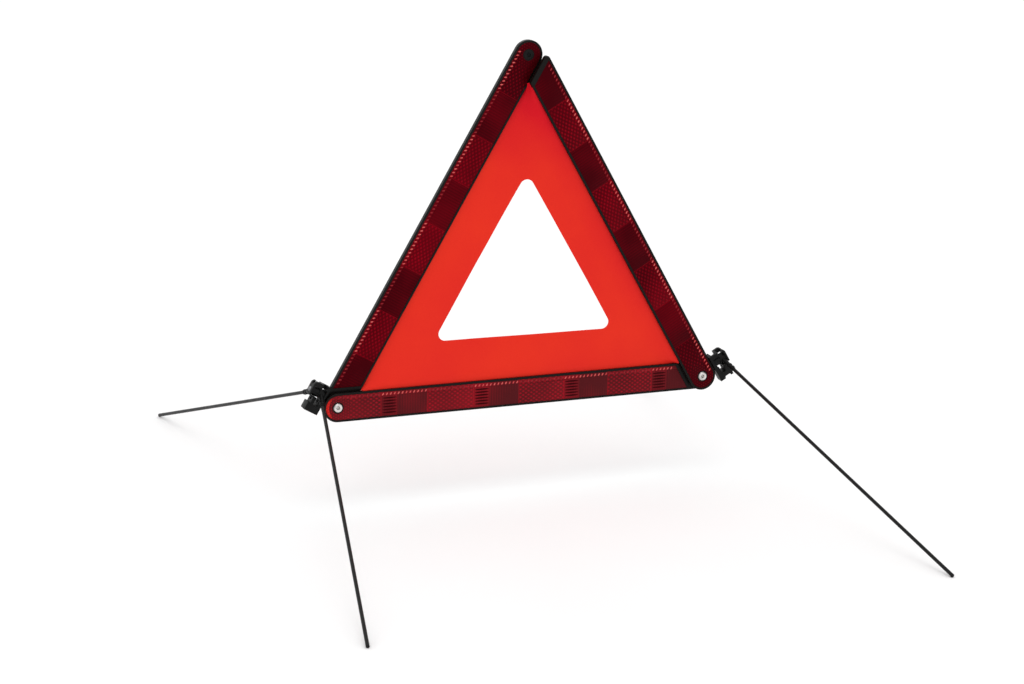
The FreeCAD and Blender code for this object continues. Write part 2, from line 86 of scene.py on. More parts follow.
def arm_matrix(arm):
    """The arm's own frame: X along the arm, Y towards the inside, Z towards the front."""
    pivot, heading = ARMS[arm][:2]
    low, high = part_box(arm + "_arm_carrier")
    turn = Matrix.Rotation(-math.radians(heading), 4, "Y") @ Matrix.Rotation(math.pi / 2, 4, "X")
    return Matrix.Translation((pivot.x, (low.y + high.y) / 2, pivot.z)) @ turn


# ---------------------------------------------------------------- camera and light

CAMERA_AT = (-1.0189, -2.5382, 0.9172)
CAMERA_TURN = (74.84, -1.04, -21.30)         # degrees
CAMERA_LENS = 87.9                           # focal length in millimetres
CAMERA_NEAR = 0.05
SKY = 1.0                                    # strength of the white surround
SUN = 0.45                                   # strength of the light from above
SUN_TURN = (12, -6, 0)                       # degrees from straight down
SUN_WIDTH = 40                               # degrees across, which makes the shadows very soft


def make_camera():
    """The camera, fitted to the photo's view of the triangle and the feet."""
    data = bpy.data.cameras.new("camera")
    data.lens = CAMERA_LENS
    data.clip_start = CAMERA_NEAR
    camera = bpy.data.objects.new("camera", data)
    camera.location = CAMERA_AT
    camera.rotation_euler = [math.radians(angle) for angle in CAMERA_TURN]
    bpy.context.scene.collection.objects.link(camera)
    bpy.context.scene.camera = camera


def make_light():
    """An even white surround and one very broad light from above."""
    world = bpy.data.worlds.new("studio")
    world.use_nodes = True
    background = world.node_tree.nodes["Background"]
    background.inputs["Color"].default_value = (1, 1, 1, 1)
    background.inputs["Strength"].default_value = SKY
    bpy.context.scene.world = world
    bpy.context.scene.view_settings.view_transform = "Standard"
    data = bpy.data.lights.new("overhead", "SUN")
    data.energy = SUN
    data.angle = math.radians(SUN_WIDTH)
    light = bpy.data.objects.new("overhead", data)
    light.rotation_euler = [math.radians(angle) for angle in SUN_TURN]
    bpy.context.scene.collection.objects.link(light)


# ---------------------------------------------------------------- mesh helpers

WELD = 1e-6                  # vertices closer than this are one
ON_AXIS = 1e-7               # a smaller radius is a point on the axis
ON_PLANE = 1e-7              # and a vertex this close to a cut lies on it
SHARP_EDGE = math.radians(40)        # edges sharper than this are rounded


def new_piece(name, mesh, body, slot, *replaced):
    """Links a finished mesh, which rides on a body and stands for CAD nodes."""
    piece = bpy.data.objects.new(name, mesh)
    bpy.context.scene.collection.objects.link(piece)
    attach(piece, body)
    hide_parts(*replaced)
    return piece


def shade(mesh, sharp_angle=35):
    """Smooth shading with sharp edges kept."""
    mesh.shade_smooth()
    mesh.set_sharp_from_angle(angle=math.radians(sharp_angle))


def arc_points(middle, radius, start, end, count):
    """Points on a circular arc, as (across, along) pairs; angles in degrees."""
    angles = [math.radians(start + (end - start) * step / count) for step in range(count + 1)]
    return [(middle[0] + radius * math.cos(a), middle[1] + radius * math.sin(a)) for a in angles]


def lathe(name, profile, matrix, segments=64):
    """A closed turned mesh from (radius, height) points; an end on the axis is closed by a fan."""
    bm = bmesh.new()
    turns = [2 * math.pi * step / segments for step in range(segments)]
    rings = []
    for radius, height in profile:
        if radius < ON_AXIS:
            rings.append([bm.verts.new((0, 0, height))])
        else:
            rings.append([bm.verts.new((radius * math.cos(t), radius * math.sin(t), height)) for t in turns])
    pairs = list(zip(rings, rings[1:]))
    if len(rings[0]) > 1:
        pairs.append((rings[-1], rings[0]))
    for below, above in pairs:
        for step in range(segments):
            after = (step + 1) % segments
            corners = [below[step % len(below)], below[after % len(below)],
                       above[after % len(above)], above[step % len(above)]]
            bm.faces.new(list(dict.fromkeys(corners)))
    bmesh.ops.recalc_face_normals(bm, faces=bm.faces)
    bm.transform(matrix)
    mesh = bpy.data.meshes.new(name)
    bm.to_mesh(mesh)
    bm.free()
    shade(mesh)
    return mesh


# ---------------------------------------------------------------- materials

class Graph:
    """A Principled material and short ways to add nodes to it."""

    def __init__(self, name, **settings):
        self.material = bpy.data.materials.new(name)
        self.material.use_nodes = True
        self.tree = self.material.node_tree
        self.shader = self.tree.nodes["Principled BSDF"]
        for socket, value in settings.items():
            self.shader.inputs[socket.replace("_", " ")].default_value = value

    def add(self, kind, settings=(), **links):
        """A node with its properties set and its inputs linked or given."""
        item = self.tree.nodes.new("ShaderNode" + kind)
        for prop, value in dict(settings).items():
            setattr(item, prop, value)
        for socket, value in links.items():
            self.put(item.inputs[self.socket_key(socket)], value)
        return item

    @staticmethod
    def socket_key(socket):
        """The socket's number for a word such as i2, and its name for any other word."""
        return int(socket[1:]) if socket[0] == "i" and socket[1:].isdigit() else socket.replace("_", " ")

    def put(self, socket, value):
        """Links an input to another node's output, or gives it a plain value."""
        if isinstance(value, bpy.types.NodeSocket):
            self.tree.links.new(value, socket)
        else:
            socket.default_value = value

    def maths(self, operation, first, second=0.0, third=0.0):
        """The result of one sum of up to three values."""
        item = self.add("Math", {"operation": operation}, i0=first, i1=second, i2=third)
        return item.outputs[0]

    def noise(self, place, scale, detail=3.0, rough=0.5):
        """Cloudy noise about 0.5; the scale is the number of clouds in a metre."""
        item = self.add("TexNoise", Vector=place, Scale=scale, Detail=detail, Roughness=rough)
        return item.outputs[0]

    def scaled(self, value, low, high):
        """A value from 0.3 to 0.7, where noise mostly lies, spread between two numbers."""
        item = self.add("MapRange", Value=value, From_Min=0.3, From_Max=0.7, To_Min=low, To_Max=high)
        return item.outputs[0]

    def clamped(self, value):
        """A value held between 0 and 1."""
        return self.add("Clamp", Value=value).outputs[0]

    def blend(self, share, first, second):
        """A colour between two colours."""
        item = self.add("Mix", {"data_type": "RGBA"}, i0=share, i6=first, i7=second)
        return item.outputs[2]

    def place(self, output="Object"):
        """Where on the piece a point lies."""
        return self.add("TexCoord").outputs[output]

    def finish(self, colour, roughness, bump=None, distance=0.0001, strength=0.5):
        """Links what was worked out to the shader, and gives the material."""
        self.put(self.shader.inputs["Base Color"], colour)
        self.put(self.shader.inputs["Roughness"], roughness)
        if bump is not None:
            item = self.add("Bump", Height=bump, Distance=distance, Strength=strength)
            self.put(self.shader.inputs["Normal"], item.outputs[0])
        return self.material


def moulded_plastic(name, dark, light, grain, low_rough, high_rough):
    """Black moulded plastic with a fine grain, faint flow marks and dull scuffs."""
    graph = Graph(name, IOR=1.5, Specular_IOR_Level=0.12)
    place = graph.place()
    flow = graph.noise(place, scale=38, detail=4, rough=0.6)
    scuff = graph.noise(place, scale=420, detail=5, rough=0.7)
    fine = graph.noise(place, scale=grain, detail=2)
    marks = graph.maths("MULTIPLY", flow, scuff)
    colour = graph.blend(graph.scaled(marks, 0.0, 1.0), (*dark, 1), (*light, 1))
    mean = graph.maths("ADD", graph.maths("MULTIPLY", flow, 0.5), graph.maths("MULTIPLY", scuff, 0.5))
    rough = graph.scaled(mean, low_rough, high_rough)
    return graph.finish(colour, rough, fine, distance=0.00006, strength=0.6)


RUBBED_ABOVE = 0.43          # the coating is rubbed where its noise is higher


def coated_wire():
    """Black coating on wire: drawn streaks, and small rubbed spots."""
    graph = Graph("coated_wire", IOR=1.5, Specular_IOR_Level=0.18)
    place = graph.place()
    streak = graph.noise(place, scale=160, detail=4, rough=0.6)
    rubbed = graph.noise(place, scale=900, detail=3, rough=0.6)
    spots = graph.maths("GREATER_THAN", graph.maths("MULTIPLY", streak, rubbed), RUBBED_ABOVE)
    colour = graph.blend(spots, (0.004, 0.004, 0.004, 1), (0.014, 0.013, 0.013, 1))
    return graph.finish(colour, graph.scaled(streak, 0.3, 0.46), rubbed, distance=0.00004, strength=0.4)


def plated_metal(name, tone, dull, low_rough, high_rough):
    """Plated steel with fine scratches and cloudy dull patches."""
    graph = Graph(name, Metallic=1.0)
    place = graph.place()
    cloud = graph.noise(place, scale=260, detail=4, rough=0.6)
    scratch = graph.noise(place, scale=2600, detail=3, rough=0.7)
    colour = graph.blend(graph.scaled(cloud, 0.0, 1.0), (*tone, 1), (*dull, 1))
    rough = graph.scaled(cloud, low_rough, high_rough)
    return graph.finish(colour, rough, scratch, distance=0.00003, strength=0.35)


# The reflector's pattern, along (U) and across (V) its arm
FIRST_SEAM = 0.050
TILE = 0.055
HATCH_PITCH = 0.0038
HATCH_ANGLE = 55             # degrees from the arm's line, either way
FINE_PITCH = 0.8 * HATCH_PITCH
DOT_PITCH = 0.0028
DOTS_REACH = 0.0155          # the dots lie round the pivot
CRESCENT_REACH = 0.0135      # inner edge of the bright crescent, from a point past the pivot
CRESCENT_SHIFT = 0.003
CRESCENT_FULL = -0.010       # along the arm: full strength up to here
CRESCENT_END = -0.006        # and nothing from here on
BORDER = 0.0092              # from the arm's middle line to the strip with the beads
SEAM_SHARE = 0.011
RIBBED_SHARE = 0.35          # the part of a tile that carries the dark ribs

# How far each feature takes the reflector from its dark red, 0, to its bright red, 1
TEXTURE_TONE = 0.95
FINE_TONE = 0.2
DOTS_TONE = 1.3
HATCHED_TONE = 0.16
SEAM_TONE = 0.4
STRIP_TONE = 0.12
PATCHES_TONE = 0.2
CRESCENT_PLAIN = 0.6
CRESCENT_RED = (0.72, 0.022, 0.016, 1)


def wave(graph, value, pitch):
    """A sine wave of a length in metres, from 0 to 1."""
    turned = graph.maths("SINE", graph.maths("MULTIPLY", value, 2 * math.pi / pitch))
    return graph.maths("MULTIPLY_ADD", turned, 0.5, 0.5)


def slanted(graph, along, across, angle):
    """Distance along a line at an angle to the arm."""
    way = math.radians(angle)
    return graph.maths("ADD", graph.maths("MULTIPLY", along, math.cos(way)),
                       graph.maths("MULTIPLY", across, math.sin(way)))


def reach_from(graph, along, across):
    """Distance from the point where both values are 0."""
    squares = graph.maths("MULTIPLY_ADD", along, along, graph.maths("MULTIPLY", across, across))
    return graph.maths("SQRT", squares)


def tiles_along(graph, along):
    """How far into its tile a point lies, from 0 to 1, and 1 where that tile is a hatched one."""
    tile = graph.maths("DIVIDE", graph.maths("SUBTRACT", along, FIRST_SEAM), TILE)
    tile = graph.maths("MAXIMUM", tile, -0.5)
    number = graph.maths("FLOOR", tile)
    return graph.maths("SUBTRACT", tile, number), graph.maths("FLOORED_MODULO", number, 2.0)


def dotted(graph, along, across):
    """Dots where the crests of three waves meet."""
    first, second, third = [wave(graph, slanted(graph, along, across, angle), DOT_PITCH)
                            for angle in (0, 60, 120)]
    return graph.maths("MULTIPLY", first, graph.maths("MULTIPLY", second, third))


def lens_texture(graph, along, across, hatched, dots):
    """Crossed hatching, fine lines on the plain tiles, and dots round the pivot."""
    rising = wave(graph, slanted(graph, along, across, HATCH_ANGLE), HATCH_PITCH)
    falling = wave(graph, slanted(graph, along, across, -HATCH_ANGLE), HATCH_PITCH)
    hatch = graph.maths("MULTIPLY", rising, falling)
    fine = graph.maths("MULTIPLY", wave(graph, along, FINE_PITCH), FINE_TONE)
    texture = graph.add("Mix", i0=hatched, i2=fine, i3=hatch).outputs[0]
    at_head = graph.maths("LESS_THAN", reach_from(graph, along, across), DOTS_REACH)
    head = graph.maths("MULTIPLY", dots, DOTS_TONE)
    return graph.add("Mix", i0=at_head, i2=texture, i3=head).outputs[0]


def tile_tone(graph, along, fraction, hatched, head_tone, rib_tone):
    """The tone of each stretch of the arm: its head, hatched tiles, and where the dark ribs stand."""
    before_seam = graph.maths("LESS_THAN", along, FIRST_SEAM)
    tone = graph.maths("MULTIPLY_ADD", before_seam, head_tone, graph.maths("MULTIPLY", hatched, HATCHED_TONE))
    plain = graph.maths("SUBTRACT", 1.0, hatched)
    at_ribs = graph.maths("MULTIPLY", graph.maths("LESS_THAN", fraction, RIBBED_SHARE), plain)
    return graph.maths("MULTIPLY_ADD", at_ribs, rib_tone, tone)


def crescent_glow(graph, along, across, dots, strength):
    """The bright crescent at the outer side of the pivot."""
    shifted = reach_from(graph, graph.maths("SUBTRACT", along, CRESCENT_SHIFT), across)
    beyond = graph.maths("GREATER_THAN", shifted, CRESCENT_REACH)
    fade = graph.add("MapRange", Value=along, From_Min=CRESCENT_FULL, From_Max=CRESCENT_END,
                     To_Min=1.0, To_Max=0.0)
    glow = graph.maths("MULTIPLY", graph.maths("MULTIPLY", beyond, strength), fade.outputs[0])
    return graph.maths("MULTIPLY", glow, graph.maths("ADD", dots, CRESCENT_PLAIN))


def lens_material(name, dark, bright, bead_side, head_tone, rib_tone, crescent):
    """Deep red reflector: hatched tiles by turns with plain dark ones, and dots round the head."""
    graph = Graph(name, IOR=1.49, Specular_IOR_Level=0.13, Specular_Tint=(1.0, 0.1, 0.15, 1))
    uv = graph.add("SeparateXYZ", Vector=graph.place("UV"))
    along, across = uv.outputs[0], uv.outputs[1]
    place = graph.place()
    cloud = graph.scaled(graph.noise(place, scale=30, detail=3, rough=0.6), 0.35, 1.0)
    fraction, hatched = tiles_along(graph, along)
    dots = dotted(graph, along, across)
    texture = lens_texture(graph, along, across, hatched, dots)
    tone = tile_tone(graph, along, fraction, hatched, head_tone, rib_tone)
    share = graph.maths("MULTIPLY_ADD", texture, graph.maths("MULTIPLY", cloud, TEXTURE_TONE), tone)
    patches = graph.scaled(graph.noise(place, scale=13, detail=2), -PATCHES_TONE, PATCHES_TONE)
    share = graph.maths("ADD", share, patches)
    seam = graph.maths("LESS_THAN", graph.maths("PINGPONG", fraction, 0.5), SEAM_SHARE)
    share = graph.maths("MULTIPLY_ADD", seam, SEAM_TONE, share)
    strip = graph.maths("GREATER_THAN", graph.maths("MULTIPLY", across, bead_side), BORDER)
    share = graph.maths("MULTIPLY_ADD", strip, STRIP_TONE, share)
    colour = graph.blend(graph.clamped(share), (*dark, 1), (*bright, 1))
    glow = crescent_glow(graph, along, across, dots, crescent)
    colour = graph.blend(graph.clamped(glow), colour, CRESCENT_RED)
    grain = graph.noise(place, scale=1500, detail=2)
    height = graph.maths("MULTIPLY_ADD", grain, 0.35, texture)
    return graph.finish(colour, graph.scaled(cloud, 0.22, 0.36), height, distance=0.0003, strength=0.5)


def red_glint(name, colour, pale, glint):
    """The raised beads and ribs of the reflector, which catch more light than the plate."""
    graph = Graph(name, IOR=1.49, Specular_IOR_Level=glint, Specular_Tint=(1.0, 0.4, 0.4, 1))
    place = graph.place()
    share = graph.scaled(graph.noise(place, scale=130, detail=3, rough=0.6), 0.0, 1.0)
    grain = graph.noise(place, scale=2400, detail=2)
    blended = graph.blend(share, (*colour, 1), (*pale, 1))
    return graph.finish(blended, graph.scaled(grain, 0.14, 0.3), grain, distance=0.0001, strength=0.4)


WEAVE_PITCH = 0.0011
WEAVE_TONE = 0.08


def fluorescent_fabric():
    """Coated fluorescent cloth: a tight plain weave, with painted shade drawn as a deeper red by the right
    arm and at the top.
    """
    # A faint emission in the cloth's own colour is painted glow, standing in for its fluorescence
    graph = Graph("fluorescent_cloth", IOR=1.45, Specular_IOR_Level=0.1, Emission_Strength=0.06)
    uv = graph.add("SeparateXYZ", Vector=graph.place("UV"))
    weave = graph.maths("MULTIPLY", wave(graph, uv.outputs[0], WEAVE_PITCH),
                        wave(graph, uv.outputs[1], WEAVE_PITCH))
    place = graph.place()
    cloud = graph.noise(place, scale=9, detail=3, rough=0.55)
    thread = graph.noise(place, scale=700, detail=3, rough=0.6)
    tone = graph.maths("MULTIPLY_ADD", weave, WEAVE_TONE, graph.scaled(cloud, 0.0, 0.35))
    tone = graph.maths("ADD", tone, graph.scaled(thread, -0.05, 0.1))
    # Painted shade: the cloth is drawn deeper red where the light falls off on its curves, by the right arm
    # and in the top corner
    tone = graph.maths("ADD", tone, graph.add("Attribute", {"attribute_name": "painted_shade"}).outputs[2])
    colour = graph.blend(graph.clamped(tone), (0.74, 0.028, 0.011, 1), (0.60, 0.005, 0.013, 1))
    graph.put(graph.shader.inputs["Emission Color"], colour)
    height = graph.maths("MULTIPLY_ADD", weave, 0.5, thread)
    return graph.finish(colour, graph.scaled(thread, 0.42, 0.56), height, distance=0.0001, strength=0.3)


def floor_white():
    """A white floor with very faint clouds."""
    graph = Graph("studio_floor", Specular_IOR_Level=0.15)
    tone = graph.scaled(graph.noise(graph.place(), scale=3, detail=3), 0.0, 1.0)
    colour = graph.blend(tone, (0.93, 0.93, 0.93, 1), (0.945, 0.945, 0.945, 1))
    return graph.finish(colour, graph.scaled(tone, 0.6, 0.7))


MATERIALS = {
    "carrier": moulded_plastic("carrier_black", dark=(0.0045, 0.0035, 0.003), light=(0.013, 0.010, 0.009),
                               grain=2200, low_rough=0.2, high_rough=0.36),
    "bracket": moulded_plastic("bracket_black", dark=(0.005, 0.005, 0.005), light=(0.014, 0.013, 0.013),
                               grain=1500, low_rough=0.3, high_rough=0.48),
    "nylon": moulded_plastic("dark_nylon", dark=(0.03, 0.03, 0.032), light=(0.06, 0.06, 0.062),
                             grain=1500, low_rough=0.4, high_rough=0.55),
    "wire": coated_wire(),
    "zinc": plated_metal("zinc_steel", tone=(0.78, 0.76, 0.73), dull=(0.56, 0.55, 0.53),
                         low_rough=0.18, high_rough=0.34),
    "dark": plated_metal("dark_steel", tone=(0.30, 0.30, 0.31), dull=(0.16, 0.16, 0.17),
                         low_rough=0.26, high_rough=0.42),
    # The bottom reflector is the same red plastic as the side ones; its brighter, paler dark and bright
    # colours hold a painted reflection of the white surround
    "lens_bottom_sheen": lens_material("reflector_red_bottom_sheen", dark=(0.076, 0.009, 0.011),
                                 bright=(0.40, 0.008, 0.017), bead_side=1.0, head_tone=0.0,
                                 rib_tone=0.22, crescent=1.0),
    "lens_side": lens_material("reflector_red_side", dark=(0.042, 0.0003, 0.002),
                               bright=(0.25, 0.0010, 0.007), bead_side=-1.0, head_tone=-0.32,
                               rib_tone=0.0, crescent=0.0),
    "bead_bright": red_glint("bead_bright_red", colour=(0.50, 0.040, 0.045), pale=(0.68, 0.13, 0.12),
                             glint=0.25),
    "bead_dim": red_glint("bead_dim_red", colour=(0.20, 0.008, 0.014), pale=(0.32, 0.025, 0.03),
                          glint=0.15),
    "rib": red_glint("rib_dark_red", colour=(0.024, 0.0005, 0.002), pale=(0.045, 0.0015, 0.003),
                     glint=0.05),
    "cloth": fluorescent_fabric(),
}


# ---------------------------------------------------------------- reflector lenses

BEADS_PER_TILE = 12
BEAD = (1.7 * MM, 0.8 * MM, 0.38 * MM)       # half length, half width and height
BEAD_TURN = 58                               # degrees from the arm's line
BEAD_LINE = 11.4 * MM                        # from the arm's middle line
BEAD_CLEAR = 2 * MM                          # from the last bead's middle to the cut end
RIB = (8.5 * MM, 0.95 * MM, 0.3 * MM)        # half length, half width and height
RIB_PITCH = 3.4 * MM
RIB_COUNT = 6
RIB_SETBACK = 1.5 * MM                       # from a seam to the ribs
RIB_CLEAR = 1 * MM                           # from the ribs to the cut end
SEAM_GAP = 0.03 * MM
TILE_EDGE = 0.3 * MM

# Material indices in a lens's mesh; the plate's own is 0
BRIGHT_BEAD, DIM_BEAD, DARK_RIB = 1, 2, 3

# Square to the slanted cut end of a lens, in the arm's own frame
CUT_END = Vector((math.cos(math.pi / 6), math.sin(math.pi / 6)))


def dome(bm, place, half_sizes, angle, index, rings=4, turns=14):
    """A low rounded lump that stands on the lens's front, with a flat foot."""
    half_length, half_width, height = half_sizes
    turn = Matrix.Rotation(angle, 3, "Z")
    previous = None
    for ring in range(rings):
        rise = math.pi / 2 * ring / rings
        row = []
        for step in range(turns):
            way = 2 * math.pi * step / turns
            spot = turn @ Vector((half_length * math.cos(rise) * math.cos(way),
                                  half_width * math.cos(rise) * math.sin(way), 0))
            row.append(bm.verts.new(place + spot + Vector((0, 0, height * math.sin(rise)))))
        if previous is None:
            bm.faces.new(row[::-1]).material_index = index
        else:
            for step in range(turns):
                after = (step + 1) % turns
                face = bm.faces.new((previous[step], previous[after], row[after], row[step]))
                face.material_index = index
        previous = row
    tip = bm.verts.new(place + Vector((0, 0, height)))
    for step in range(turns):
        bm.faces.new((previous[step], previous[(step + 1) % turns], tip)).material_index = index


def clipped(source, planes):
    """The closed part of a solid on the inner side of several planes, each a point and a normal."""
    part = source.copy()
    for point, normal in planes:
        everything = part.verts[:] + part.edges[:] + part.faces[:]
        result = bmesh.ops.bisect_plane(part, geom=everything, plane_co=point, plane_no=normal,
                                        clear_outer=True, dist=ON_PLANE)
        rim = [item for item in result["geom_cut"] if isinstance(item, bmesh.types.BMEdge)]
        if rim:
            bmesh.ops.edgenet_fill(part, edges=rim)
    return part


def round_front(part, front):
    """Rounds the edges of a tile's front face."""
    part.normal_update()
    edges = []
    for edge in part.edges:
        at_front = all(abs(vert.co.z - front) < WELD for vert in edge.verts)
        if at_front and len(edge.link_faces) == 2 and edge.calc_face_angle(0) > SHARP_EDGE:
            edges.append(edge)
    bmesh.ops.bevel(part, geom=edges, offset=TILE_EDGE, segments=2, profile=0.6, affect="EDGES")


def tiles_of_plate(bm, plate, seams, bead_side, front):
    """Cuts the plate at its seams and beside the bead strip, and adds the parts to bm."""
    border = Vector((0, BORDER * bead_side, 0))
    outward = Vector((0, bead_side, 0))
    for low, high in zip(seams, seams[1:]):
        ends = []
        if low > seams[0]:
            ends.append((Vector((low + SEAM_GAP, 0, 0)), Vector((-1, 0, 0))))
        if high < seams[-1]:
            ends.append((Vector((high - SEAM_GAP, 0, 0)), Vector((1, 0, 0))))
        for normal in (outward, -outward):
            part = clipped(plate, ends + [(border - normal * SEAM_GAP, normal)])
            if part.faces:
                round_front(part, front)
                loose = bpy.data.meshes.new("part")
                part.to_mesh(loose)
                bm.from_mesh(loose)
                bpy.data.meshes.remove(loose)
            part.free()


def beads_on_lens(bm, bead_side, front, tail):
    """A row of slanted beads down the strip; their tone changes with the tiles."""
    pitch = TILE / BEADS_PER_TILE
    for step in range(round(side / pitch)):
        along = pitch * (step + 0.5) + FIRST_SEAM - TILE
        spot = Vector((along, BEAD_LINE * bead_side, front))
        if along < 0 or spot.xy.dot(CUT_END) > tail - BEAD_CLEAR:
            continue
        before_seam = along < FIRST_SEAM
        odd_tile = math.floor((along - FIRST_SEAM) / TILE) % 2 == 1
        bright = (odd_tile or before_seam) == (bead_side < 0)
        dome(bm, spot, BEAD, math.radians(BEAD_TURN) * bead_side, BRIGHT_BEAD if bright else DIM_BEAD)


def ribs_on_lens(bm, tile_count, front, tail):
    """Short dark ribs, one above the other, at the start of every second tile."""
    for tile in range(0, tile_count, 2):
        for rib in range(RIB_COUNT):
            across = (rib - RIB_COUNT / 2) * RIB_PITCH
            along = FIRST_SEAM + TILE * tile + RIB[0] + RIB_SETBACK
            if (along + RIB[0]) * CUT_END.x + across * CUT_END.y < tail - RIB_CLEAR:
                dome(bm, Vector((along, across, front)), RIB, 0, DARK_RIB)


def lens_piece(arm):
    """The reflector of an arm: bevelled tiles beside a strip with a row of beads."""
    body, bead_side = ARMS[arm][2:]
    node = arm + "_arm_lens"
    matrix = arm_matrix(arm)
    plate = bmesh.new()
    plate.from_mesh(nodes[node].data)
    plate.transform(matrix.inverted())
    bmesh.ops.remove_doubles(plate, verts=plate.verts, dist=WELD)
    front = max(vert.co.z for vert in plate.verts)
    start = min(vert.co.x for vert in plate.verts)
    end = max(vert.co.x for vert in plate.verts)
    tail = max(vert.co.xy.dot(CUT_END) for vert in plate.verts)
    tile_count = math.ceil((end - FIRST_SEAM) / TILE)
    seams = [start] + [FIRST_SEAM + TILE * step for step in range(tile_count)] + [end]
    bm = bmesh.new()
    tiles_of_plate(bm, plate, seams, bead_side, front)
    plate.free()
    beads_on_lens(bm, bead_side, front, tail)
    if arm == "bottom":
        ribs_on_lens(bm, tile_count, front, tail)
    uv = bm.loops.layers.uv.new("arm")
    for face in bm.faces:
        for loop in face.loops:
            loop[uv].uv = loop.vert.co.xy
    bm.transform(matrix)
    mesh = bpy.data.meshes.new(node + "_tiles")
    bm.to_mesh(mesh)
    bm.free()
    shade(mesh, sharp_angle=40)
    for look in ("lens_bottom_sheen" if arm == "bottom" else "lens_side", "bead_bright", "bead_dim", "rib"):
        mesh.materials.append(MATERIALS[look])
    new_piece(arm + "_reflector", mesh, body, "red_reflector", node)


# ---------------------------------------------------------------- fluorescent sheet

SHEET_THICK = 0.6 * MM
HOLE_OFFSET = 82.0 * MM      # from the triangle's outer edge to the edge of the opening
HOLE_ROUND = 8.0 * MM
GROOVE_SETBACK = 0.6 * MM    # the arms' grooves lie behind their middle planes
TIP = 2.6 * MM               # how far the top corner of the cloth reaches in between two arms
BLUNT = 0.05 * MM            # how far it reaches beside that tip and at the lower corners
NEAREST = 0.05 * MM          # distances to an arm count as at least this
ARM_PULL = -1.6              # power of the distance by which an arm's groove draws the cloth
SLACK_REACH = 18 * MM        # from an arm to where the cloth lies free
SAG = 2.2 * MM
SAG_SCALE = 9
SAG_PLACE = Vector((3.1, 0, 7.7))
PUCKER = 0.35 * MM
PUCKER_SCALE = 34
PUCKER_PLACE = 5.0
RIGHT_SHADE = 0.35             # painted shade, a deeper red, along the right arm
RIGHT_REACH = 26 * MM
TOP_SHADE = 0.85               # and painted shade towards the top corner
TOP_START = 0.13             # above the triangle's centre
TOP_REACH = 0.09
SHEET_TURNS = 720
SHEET_RINGS = 30
HEM_RINGS = 2

# Away from the triangle's centre, square to each arm, in the order of ARMS
OUTWARD = [Vector((math.cos(way), math.sin(way))) for way in map(math.radians, (270, 30, 150))]
RIGHT_ARM = list(ARMS).index("right")


def corner_angle(angle):
    """The angle from the nearest of the three corners, from -60 to 60 degrees, in radians."""
    third = 2 * math.pi / 3
    return (angle - math.pi / 2 + third / 2) % third - third / 2


def triangle_reach(angle, inradius):
    """From the centre to the edge of a triangle."""
    return inradius / math.cos(math.pi / 3 - abs(corner_angle(angle)))


def rounded_reach(angle, inradius, radius):
    """From the centre to the edge of a triangle with rounded corners."""
    away = abs(corner_angle(angle))
    middle = 2 * (inradius - radius)
    tangent = math.atan2(radius * math.sin(math.pi / 3), middle + radius * math.cos(math.pi / 3))
    if away > tangent:
        return triangle_reach(angle, inradius)
    return middle * math.cos(away) + math.sqrt(radius ** 2 - (middle * math.sin(away)) ** 2)


def groove_depths():
    """How far back each arm's groove lies."""
    depths = []
    for arm in ARMS:
        front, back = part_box(arm + "_arm_carrier")
        depths.append((front.y + back.y) / 2 + GROOVE_SETBACK)
    return depths


def sheet_depth(spot, clear, depths):
    """How far back the cloth lies at a point: level with each arm's groove at that arm's edge."""
    gaps = [max(clear - way.dot(spot.xz), NEAREST) for way in OUTWARD]
    weights = [gap ** ARM_PULL for gap in gaps]
    base = sum(w * d for w, d in zip(weights, depths)) / sum(weights)
    slack = min(min(gaps) / SLACK_REACH, 1.0)
    sag = noise.noise(spot * SAG_SCALE + SAG_PLACE) * SAG
    ripple = Vector((spot.x * PUCKER_SCALE, PUCKER_PLACE, spot.z * PUCKER_SCALE))
    return base + slack * (sag + noise.noise(ripple) * PUCKER)


def painted_shade(spot, clear):
    """Painted shade: how much deeper red the cloth is drawn near the right arm and in the top corner."""
    gap = clear - OUTWARD[RIGHT_ARM].dot(spot.xz)
    shade_by_right = max(1 - gap / RIGHT_REACH, 0.0) * RIGHT_SHADE
    shade_at_top = min(max((spot.z - TOP_START) / TOP_REACH, 0.0), 1.0) * TOP_SHADE
    return shade_by_right + shade_at_top


def cloth_rings(bm, inner, clear, outer):
    """Closed rows of the cloth's vertices about the triangle's centre, from the opening to the hem.

    The three triangles are given by their inradius: the opening, the arms' inner edges, the hem."""
    # Each vertex keeps its painted shade, a deeper red by the right arm and at the top
    red = bm.verts.layers.float["painted_shade"]
    depths = groove_depths()
    shares = [ring / SHEET_RINGS for ring in range(SHEET_RINGS)]
    rings = [[] for _ in range(SHEET_RINGS + 1 + HEM_RINGS)]
    for step in range(SHEET_TURNS):
        angle = math.pi / 2 + 2 * math.pi * step / SHEET_TURNS
        near = rounded_reach(angle, inner, HOLE_ROUND)
        edge = triangle_reach(angle, clear)
        tip = TIP if step == 0 else BLUNT
        far = min(triangle_reach(angle, outer), 2 * clear + tip)
        reaches = [near + (edge - near) * share for share in shares]
        reaches += [edge + (far - edge) * ring / HEM_RINGS for ring in range(HEM_RINGS + 1)]
        for ring, reach in zip(rings, reaches):
            spot = Vector((reach * math.cos(angle), 0, reach * math.sin(angle)))
            spot.y = sheet_depth(spot, clear, depths)
            vert = bm.verts.new(spot)
            vert[red] = painted_shade(spot, clear)
            ring.append(vert)
    return rings


def ring_area(row):
    """The area inside a closed row of vertices, seen from the front."""
    pairs = zip(row, row[1:] + row[:1])
    return sum(a.co.x * b.co.z - b.co.x * a.co.z for a, b in pairs) / 2


def mean_depth(bm):
    """How far back the vertices lie on average."""
    return sum(vert.co.y for vert in bm.verts) / len(bm.verts)


